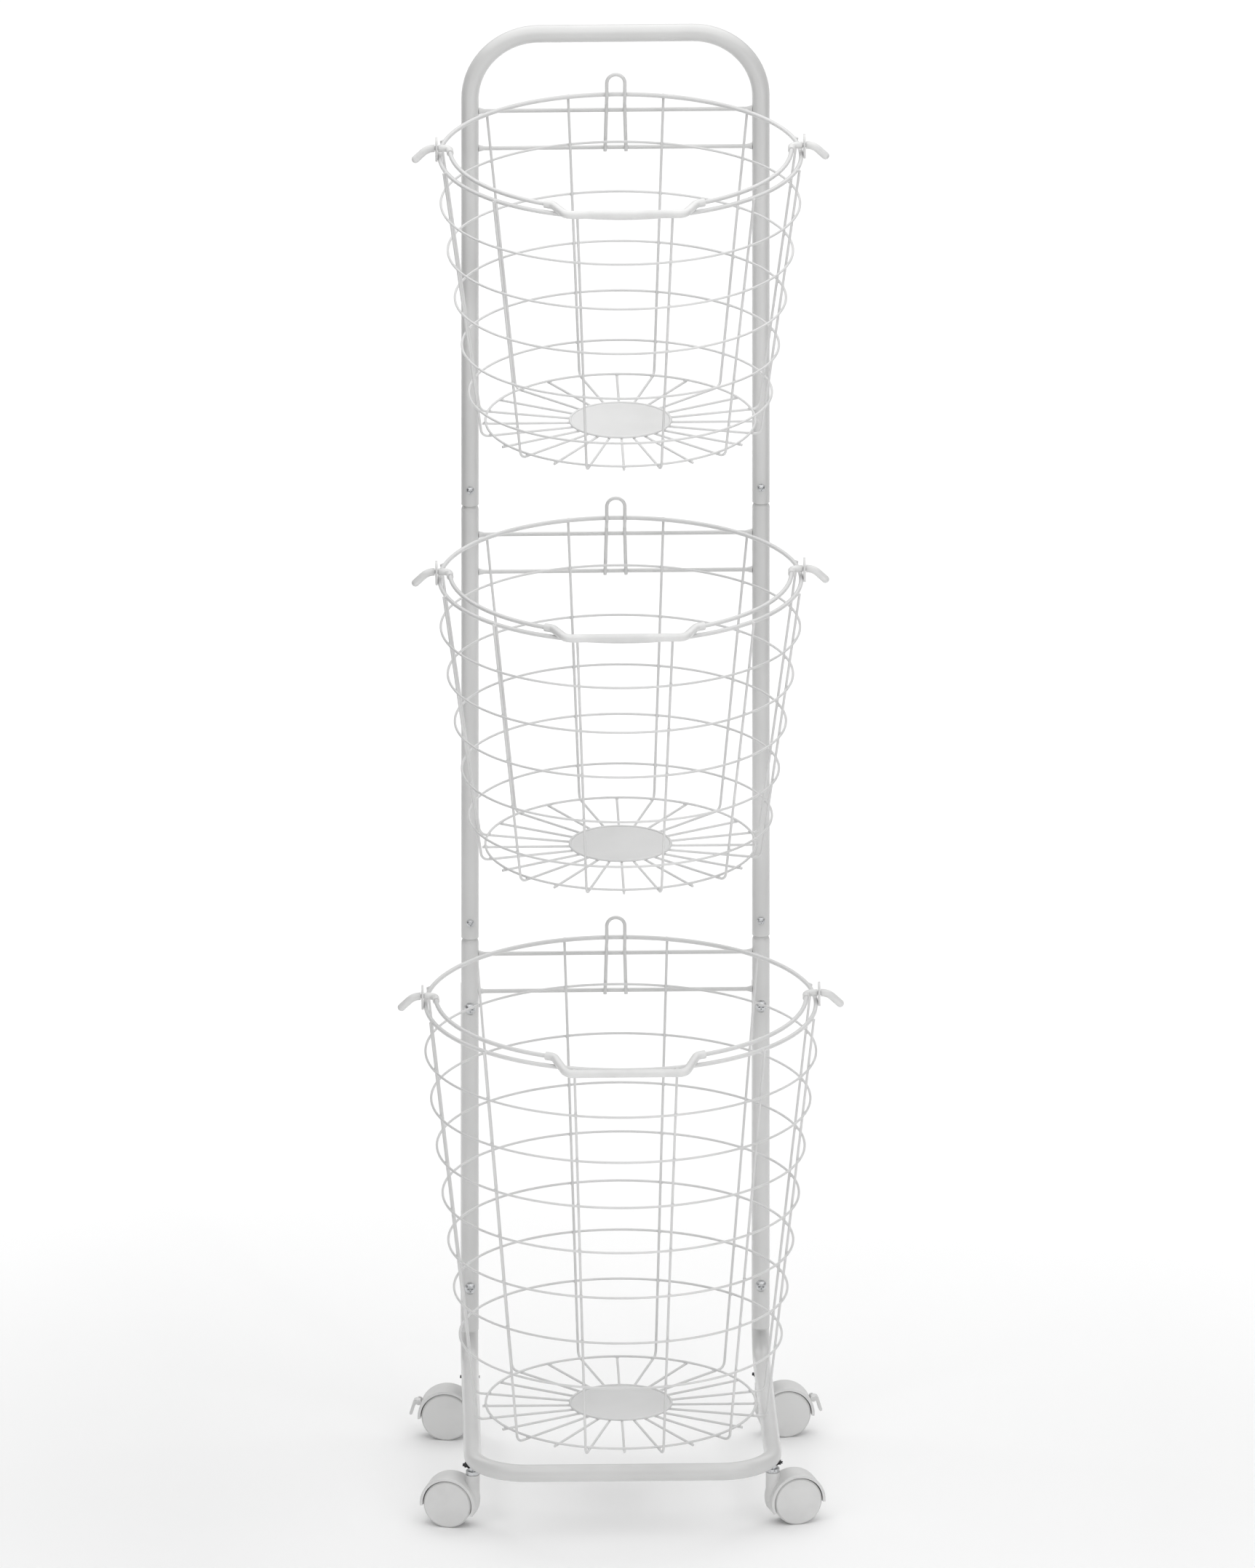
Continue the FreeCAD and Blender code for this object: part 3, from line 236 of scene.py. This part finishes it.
# ------------------------------------------------------------ screws, bolts and nuts
# Pressed steel with bright zinc plate. The plate has random patches of a darker film,
# and shows fine marks from the tumbling barrel.
ZINC = (0.62, 0.63, 0.64, 1)
ZINC_FILM = (0.20, 0.20, 0.21, 1)
BARREL_MARKS = 2600.0


def make_zinc_group():
    group, given, out = new_group(
        "zinc_plate",
        [("Bright", "NodeSocketColor", ZINC), ("Film", "NodeSocketColor", ZINC_FILM),
         ("Dullness", "NodeSocketFloat", 0.22)],
        [("Color", "NodeSocketColor"), ("Roughness", "NodeSocketFloat"), ("Height", "NodeSocketFloat")])
    where = group.nodes.new("ShaderNodeTexCoord").outputs["Object"]
    patches = noise(group, where, 420.0, 3.0)
    marks = noise(group, where, BARREL_MARKS, 2.0)
    film = sum_of(group, "MULTIPLY", ramp(group, patches, 0.52, 0.75), 0.7)
    group.links.new(blend_colors(group, film, given.outputs["Bright"], given.outputs["Film"]),
                    out.inputs["Color"])
    rough = sum_of(group, "MULTIPLY_ADD", marks, 0.22, given.outputs["Dullness"])
    group.links.new(rough, out.inputs["Roughness"])
    group.links.new(marks, out.inputs["Height"])
    return group


zinc_group = make_zinc_group()


def make_zinc():
    material, tree, shader = new_material("zinc_fasteners")
    shader.inputs["Metallic"].default_value = 1.0
    plate = place_group(tree, zinc_group)
    tree.links.new(plate.outputs["Color"], shader.inputs["Base Color"])
    tree.links.new(plate.outputs["Roughness"], shader.inputs["Roughness"])
    add_bump(tree, shader, plate.outputs["Height"], 0.15, 0.0002)
    return material


give(make_zinc(), "joint_screws", "base_bolts", "base_nuts")

# ------------------------------------------------------------ wire baskets
# Hard steel wire, spot welded at each crossing on to a thicker rim, with a pressed disc under the
# middle. The whole basket is dipped in the powder cloud, so the coat fills the corners of the welds.
TIERS = ("top", "middle", "bottom")
WIRE_PEEL = 1300.0
HOOP_PITCH = 0.0455
STAVE_WIRE = 0.0023
HOOP_WIRE = 0.0022
RIM_WIRE = 0.004
SPOT_SIZE = (0.0021, 0.0010, 0.0018)
FLOOR_SPOT_SIZE = (0.0017, 0.0019, 0.0009)
STAVES = 12
STAVE_TURN = 360 / STAVES
FLOOR_RADIUS = {"top": 0.131, "middle": 0.131, "bottom": 0.136}
RING_RADIUS = 0.1225


def make_wire_coat(name, peel, strength):
    material, tree, shader = new_material(name, coat=0.12)
    coat = place_group(tree, coat_group, Peel_Scale=peel, Satin=0.27, White=(0.73, 0.73, 0.727, 1),
                       Shade=(0.66, 0.66, 0.657, 1))
    tree.links.new(coat.outputs["Color"], shader.inputs["Base Color"])
    tree.links.new(coat.outputs["Roughness"], shader.inputs["Roughness"])
    add_bump(tree, shader, coat.outputs["Height"], strength, 0.0003)
    return material


wire_coat = make_wire_coat("wire_powder", WIRE_PEEL, 0.20)
sheet_coat = make_wire_coat("pressed_disc_powder", 540.0, 0.26)


def add_spot(mesh, middle, outward, sizes):
    """One weld spot: a small flattened bead whose middle axis points outward."""
    across = outward.cross(Vector((0, 0, 1))).normalized()
    upright = across.cross(outward).normalized()
    turn = Matrix((across, outward, upright)).transposed().to_4x4()
    shape = Matrix.Diagonal((*sizes, 1))
    bmesh.ops.create_icosphere(mesh, subdivisions=2, radius=1.0,
                               matrix=Matrix.Translation(middle) @ turn @ shape)


def as_object(mesh, name, material):
    """This mesh as an object in the scene, in this finish."""
    data = bpy.data.meshes.new(name)
    mesh.to_mesh(data)
    mesh.free()
    data.materials.append(material)
    piece = bpy.data.objects.new(name, data)
    bpy.context.scene.collection.objects.link(piece)
    return piece


def make_weld_spots(tier):
    rim_low, rim_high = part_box(f"{tier}_rim")
    centre = (rim_low + rim_high) / 2
    rim_radius = (rim_high.x - rim_low.x) / 2 - RIM_WIRE / 2
    hoops_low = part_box(f"{tier}_hoops")[0]
    depth = centre.z - hoops_low.z - HOOP_WIRE / 2
    stave_top = rim_radius + (RIM_WIRE + STAVE_WIRE) / 2
    spoke_drop = depth + (HOOP_WIRE + STAVE_WIRE) / 2
    stave_foot = FLOOR_RADIUS[tier]
    lean = (stave_top - stave_foot) / spoke_drop
    mesh = bmesh.new()
    hoop_count = int((depth - HOOP_PITCH / 2) / HOOP_PITCH)
    for index in range(STAVES):
        angle = math.radians(STAVE_TURN * (index + 0.5))
        outward = Vector((math.cos(angle), math.sin(angle), 0))
        add_spot(mesh, centre + outward * (rim_radius + RIM_WIRE / 2), outward, SPOT_SIZE)
        for number in range(1, hoop_count + 1):
            drop = HOOP_PITCH * number
            radius = stave_top - lean * drop + STAVE_WIRE / 2
            add_spot(mesh, centre + outward * radius - Vector((0, 0, drop)), outward, SPOT_SIZE)
    crossing = Vector((0, 0, depth + HOOP_WIRE / 2))
    for index in range(STAVES * 2):
        angle = math.radians(STAVE_TURN / 2 * index)
        outward = Vector((math.cos(angle), math.sin(angle), 0))
        add_spot(mesh, centre + outward * RING_RADIUS - crossing, outward, FLOOR_SPOT_SIZE)
    piece = as_object(mesh, f"{tier}_weld_spots", wire_coat)
    piece.data.shade_smooth()
    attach(piece, f"{tier}_basket")


for tier in TIERS:
    give(wire_coat, *[f"{tier}_{name}" for name in ("rim", "hoops", "staves", "spokes", "ears")])
    give(sheet_coat, f"{tier}_floor_disc")
    make_weld_spots(tier)

# ------------------------------------------------------------ bail handles
# A wire bail swings in the two ears of each basket. Its grip and its ends are soft white vinyl,
# moulded over the wire, and smoother than the powder coat.
VINYL = (0.76, 0.76, 0.755, 1)
VINYL_SHADE = (0.70, 0.70, 0.695, 1)


def make_moulded_group():
    """Moulded plastic: faint flow clouds and a fine grain from the tool."""
    group, given, out = new_group(
        "moulded_plastic",
        [("Light", "NodeSocketColor", VINYL), ("Dark", "NodeSocketColor", VINYL_SHADE),
         ("Grain Scale", "NodeSocketFloat", 1800.0), ("Gloss Level", "NodeSocketFloat", 0.26),
         ("Gloss Change", "NodeSocketFloat", 0.12)],
        [("Color", "NodeSocketColor"), ("Roughness", "NodeSocketFloat"), ("Height", "NodeSocketFloat")])
    where = group.nodes.new("ShaderNodeTexCoord").outputs["Object"]
    flow = noise(group, where, 38.0, 4.0)
    grain = noise(group, where, given.outputs["Grain Scale"], 2.0)
    clouds = ramp(group, flow, 0.38, 0.70)
    group.links.new(blend_colors(group, clouds, given.outputs["Light"], given.outputs["Dark"]),
                    out.inputs["Color"])
    rough = sum_of(group, "MULTIPLY_ADD", flow, given.outputs["Gloss Change"],
                   given.outputs["Gloss Level"])
    group.links.new(rough, out.inputs["Roughness"])
    group.links.new(grain, out.inputs["Height"])
    return group


moulded_group = make_moulded_group()


def make_vinyl():
    material, tree, shader = new_material("vinyl_sleeve", coat=0.2)
    plastic = place_group(tree, moulded_group)
    tree.links.new(plastic.outputs["Color"], shader.inputs["Base Color"])
    tree.links.new(plastic.outputs["Roughness"], shader.inputs["Roughness"])
    add_bump(tree, shader, plastic.outputs["Height"], 0.06, 0.0002)
    return material


vinyl = make_vinyl()
for tier in TIERS:
    give(wire_coat, f"{tier}_bail_wire")
    give(vinyl, f"{tier}_bail_grip", f"{tier}_bail_ends")

# ------------------------------------------------------------ casters
# Twin wheels and a hood moulded in white nylon, on a plated stem that screws up into the base tube
# with a blackened toothed washer under it. The rear two have a foot lever between lugs on the hood.
NYLON = (0.73, 0.73, 0.725, 1)
NYLON_SHADE = (0.68, 0.68, 0.675, 1)
TREAD_GREY = (0.60, 0.60, 0.595, 1)
TREAD_GREYING = 0.6
TREAD_DULLING = 0.2
WASHER_BLACK = (0.035, 0.035, 0.038, 1)
WASHER_FILM = (0.012, 0.012, 0.012, 1)
WASHER_THICK = 0.0014
WASHER_PLAY = 0.0001
WASHER_SET = 0.0002
WASHER_TEETH = 14
TOOTH_STEPS = 4
TOOTH_SET = 0.0004
WASHER_INSIDE = 0.0064
WASHER_ROOT = 0.0080
WASHER_TIP = 0.0092
TOOTH_TWIST = 0.00035
TREAD_DEPTH = 0.0012
CASTERS = ("front_left", "front_right", "rear_left", "rear_right")


def make_nylon():
    material, tree, shader = new_material("caster_nylon")
    plastic = place_group(tree, moulded_group, Light=NYLON, Dark=NYLON_SHADE, Grain_Scale=1100.0,
                          Gloss_Level=0.40)
    tree.links.new(plastic.outputs["Color"], shader.inputs["Base Color"])
    tree.links.new(plastic.outputs["Roughness"], shader.inputs["Roughness"])
    add_bump(tree, shader, plastic.outputs["Height"], 0.10, 0.0003)
    return material


def make_tread(axle, radius):
    """Nylon that is greyer and duller on the rolling face, by the distance from this axle."""
    material, tree, shader = new_material("wheel_nylon")
    plastic = place_group(tree, moulded_group, Light=NYLON, Dark=NYLON_SHADE, Grain_Scale=1100.0,
                          Gloss_Level=0.42)
    offset = tree.nodes.new("ShaderNodeVectorMath")
    offset.operation = "SUBTRACT"
    tree.links.new(tree.nodes.new("ShaderNodeTexCoord").outputs["Object"], offset.inputs[0])
    offset.inputs[1].default_value = axle
    length = tree.nodes.new("ShaderNodeVectorMath")
    length.operation = "LENGTH"
    tree.links.new(offset.outputs["Vector"], length.inputs[0])
    worn = ramp(tree, length.outputs["Value"], radius - TREAD_DEPTH, radius)
    color = blend_colors(tree, sum_of(tree, "MULTIPLY", worn, TREAD_GREYING),
                         plastic.outputs["Color"], TREAD_GREY)
    tree.links.new(color, shader.inputs["Base Color"])
    tree.links.new(sum_of(tree, "MULTIPLY_ADD", worn, TREAD_DULLING, plastic.outputs["Roughness"]),
                   shader.inputs["Roughness"])
    add_bump(tree, shader, plastic.outputs["Height"], 0.10, 0.0003)
    return material


def make_stem_metal(tube_bottom):
    """Zinc plate, blackened on the flange inside the toothed washer."""
    material, tree, shader = new_material("caster_stem_metal")
    shader.inputs["Metallic"].default_value = 1.0
    plate = place_group(tree, zinc_group, Dullness=0.18)
    height = axis_value(tree, "Z")
    above = sum_of(tree, "GREATER_THAN", height, tube_bottom - WASHER_THICK - WASHER_PLAY)
    below = sum_of(tree, "LESS_THAN", height, tube_bottom + WASHER_PLAY)
    washer = sum_of(tree, "MULTIPLY", above, below)
    tree.links.new(blend_colors(tree, washer, plate.outputs["Color"], WASHER_BLACK),
                   shader.inputs["Base Color"])
    tree.links.new(sum_of(tree, "MULTIPLY_ADD", washer, 0.15, plate.outputs["Roughness"]),
                   shader.inputs["Roughness"])
    add_bump(tree, shader, plate.outputs["Height"], 0.15, 0.0002)
    return material


def make_black_steel():
    """The zinc group in a near black, for a hardened washer."""
    material, tree, shader = new_material("washer_steel", specular=0.4)
    shader.inputs["Metallic"].default_value = 0.6
    plate = place_group(tree, zinc_group, Bright=WASHER_BLACK, Film=WASHER_FILM, Dullness=0.34)
    tree.links.new(plate.outputs["Color"], shader.inputs["Base Color"])
    tree.links.new(plate.outputs["Roughness"], shader.inputs["Roughness"])
    add_bump(tree, shader, plate.outputs["Height"], 0.15, 0.0002)
    return material


def make_washer(caster, tube_bottom):
    """A flat ring whose teeth are each twisted a little out of its plane."""
    low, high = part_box(f"{caster}_stem")
    centre = (low + high) / 2
    mesh = bmesh.new()
    rings = []
    for step in range(WASHER_TEETH * TOOTH_STEPS):
        angle = math.tau * step / (WASHER_TEETH * TOOTH_STEPS)
        twist = (0, TOOTH_TWIST, -TOOTH_TWIST, 0)[step % TOOTH_STEPS]
        reach = WASHER_TIP if twist else WASHER_ROOT
        section = ((WASHER_INSIDE, WASHER_SET), (reach, TOOTH_SET - twist),
                   (reach, WASHER_THICK - TOOTH_SET - twist), (WASHER_INSIDE, WASHER_THICK - WASHER_SET))
        outward = Vector((math.cos(angle), math.sin(angle)))
        rings.append([mesh.verts.new((centre.x + radius * outward.x, centre.y + radius * outward.y,
                                      tube_bottom - drop)) for radius, drop in section])
    for here, after in zip(rings, rings[1:] + rings[:1]):
        for corner, following in ((0, 1), (1, 2), (2, 3), (3, 0)):
            mesh.faces.new((here[corner], after[corner], after[following], here[following]))
    bmesh.ops.recalc_face_normals(mesh, faces=mesh.faces)
    piece = as_object(mesh, f"{caster}_lock_washer", black_steel)
    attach(piece, f"{caster}_swivel")


nylon = make_nylon()
black_steel = make_black_steel()
tube_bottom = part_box("base_loop")[0].z
stem_metal = make_stem_metal(tube_bottom)
for caster in CASTERS:
    give(nylon, f"{caster}_hood")
    give(stem_metal, f"{caster}_stem", f"{caster}_axle")
    make_washer(caster, tube_bottom)
    for end in ("front", "rear"):
        low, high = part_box(f"{caster}_wheel_{end}")
        middle = (low + high) / 2
        give(make_tread(tuple(middle), (high.z - low.z) / 2), f"{caster}_wheel_{end}")
for caster in ("rear_left", "rear_right"):
    give(nylon, f"{caster}_brake_lever")

# ------------------------------------------------------------ studio
# A pale floor under a wide soft box, a narrow strip in front on the right, and an even white room.
# Black cards stand out of sight on both sides to darken the edges of the white tubes and wires.
# The camera looks down a little from straight in front of the cart, with parallel rays.
TOP_SIZE = 13.0
TOP_POWER = 590
TOP_PLACE = (0, 0.5, 5.0)
TOP_AIM = (0, 0.5, 0)
STRIP_SIZE = (0.22, 2.2)
STRIP_POWER = 7
STRIP_PLACE = (1.15, -2.7, 0.9)
STRIP_AIM = (0, 0, 0.7)
ROOM_WHITE = (1, 1, 1, 1)
ROOM_STRENGTH = 0.42
FLOOR_HALF = 9.0
FLOOR_PAPER = (0.97, 0.97, 0.97, 1)
CARD_BLACK = (0.03, 0.03, 0.03, 1)
SHADE_CARDS = (("left_card", -0.90, 0.55), ("right_card", 1.00, 0.40))
CARD_HALF_HEIGHT = 0.60
CARD_MIDDLE = 1.02
LOOK_DOWN = 20.0
LOOK_ROUND = -1.5
VIEW_HEIGHT = 1.423
VIEW_TARGET = Vector((0.0064, 0.0, 0.6859))
VIEW_DISTANCE = 4.0


def add_area(name, place, aim, width, height, power):
    light = bpy.data.lights.new(name, "AREA")
    light.shape = "RECTANGLE"
    light.size = width
    light.size_y = height
    light.energy = power
    lamp = bpy.data.objects.new(name, light)
    lamp.location = place
    lamp.rotation_mode = "QUATERNION"
    lamp.rotation_quaternion = (Vector(aim) - Vector(place)).to_track_quat("-Z", "Y")
    bpy.context.scene.collection.objects.link(lamp)


add_area("top_box", TOP_PLACE, TOP_AIM, TOP_SIZE, TOP_SIZE, TOP_POWER)
add_area("strip_box", STRIP_PLACE, STRIP_AIM, *STRIP_SIZE, STRIP_POWER)

world = bpy.data.worlds.new("studio_room")
world.use_nodes = True
world.node_tree.nodes["Background"].inputs["Color"].default_value = ROOM_WHITE
world.node_tree.nodes["Background"].inputs["Strength"].default_value = ROOM_STRENGTH
bpy.context.scene.world = world
bpy.context.scene.view_settings.view_transform = "Standard"


def make_matt(name, color):
    material, _, shader = new_material(name, specular=0.1)
    shader.inputs["Base Color"].default_value = color
    shader.inputs["Roughness"].default_value = 0.9
    return material


floor_mesh = bmesh.new()
bmesh.ops.create_grid(floor_mesh, x_segments=4, y_segments=4, size=FLOOR_HALF)
as_object(floor_mesh, "studio_floor", make_matt("floor_paper", FLOOR_PAPER))

card_material = make_matt("card_black", CARD_BLACK)
for card_name, card_x, half_depth in SHADE_CARDS:
    card_mesh = bmesh.new()
    corners = [card_mesh.verts.new((card_x, depth * half_depth, CARD_MIDDLE + side * CARD_HALF_HEIGHT))
               for depth, side in ((-1, -1), (1, -1), (1, 1), (-1, 1))]
    card_mesh.faces.new(corners)
    card = as_object(card_mesh, card_name, card_material)
    card.visible_camera = False

camera_data = bpy.data.cameras.new("camera")
camera_data.type = "ORTHO"
camera_data.ortho_scale = VIEW_HEIGHT
camera = bpy.data.objects.new("camera", camera_data)
turn = math.radians(LOOK_ROUND)
down = math.radians(LOOK_DOWN)
back = Vector((math.sin(turn) * math.cos(down), -math.cos(turn) * math.cos(down), math.sin(down)))
camera.location = VIEW_TARGET + back * VIEW_DISTANCE
camera.rotation_mode = "QUATERNION"
camera.rotation_quaternion = (-back).to_track_quat("-Z", "Y")
bpy.context.scene.collection.objects.link(camera)
bpy.context.scene.camera = camera
